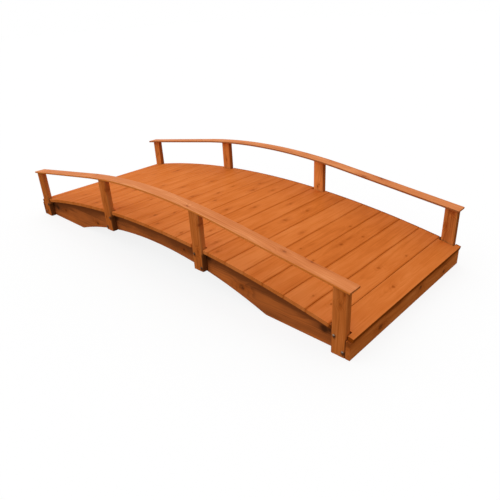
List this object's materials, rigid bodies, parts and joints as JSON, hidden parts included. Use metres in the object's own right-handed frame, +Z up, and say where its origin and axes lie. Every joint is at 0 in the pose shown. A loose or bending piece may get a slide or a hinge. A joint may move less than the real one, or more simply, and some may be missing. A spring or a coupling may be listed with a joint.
{
  "type": "arched wooden garden footbridge",
  "caption": "Low arched garden footbridge of stained softwood: curved stringers with flat feet, cross-laid deck boards, short posts and bent handrails along both sides.",
  "frame": {"origin": "on the ground under the middle of the bridge", "axes": "+X along the bridge towards its right end, +Y across it towards the back, +Z up"},
  "size_m": [3.0798, 1.245, 0.538],
  "materials": {
    "deck": "orange-brown stain, satin",
    "handrails": "light orange stain, satin",
    "posts": "orange-brown stain, satin",
    "stringers": "orange-brown stain, satin",
    "end_boards": "orange-brown stain, satin",
    "bolts": "dull zinc plating"
  },
  "bodies": {
    "root": {"front_stringer": "stringers", "middle_stringer": "stringers", "back_stringer": "stringers", "left_end_board": "end_boards", "right_end_board": "end_boards", "front_post_1": "posts", "front_post_2": "posts", "front_post_3": "posts", "front_post_4": "posts", "back_post_1": "posts", "back_post_2": "posts", "back_post_3": "posts", "back_post_4": "posts", "front_handrail": "handrails", "back_handrail": "handrails", "deck_board_01": "deck", "deck_board_02": "deck", "deck_board_03": "deck", "deck_board_04": "deck", "deck_board_05": "deck", "deck_board_06": "deck", "deck_board_07": "deck", "deck_board_08": "deck", "deck_board_09": "deck", "deck_board_10": "deck", "deck_board_11": "deck", "deck_board_12": "deck", "deck_board_13": "deck", "deck_board_14": "deck", "deck_board_15": "deck", "deck_board_16": "deck", "deck_board_17": "deck", "deck_board_18": "deck", "deck_board_19": "deck", "deck_board_20": "deck", "deck_board_21": "deck", "deck_board_22": "deck"}
  },
  "joints": []
}
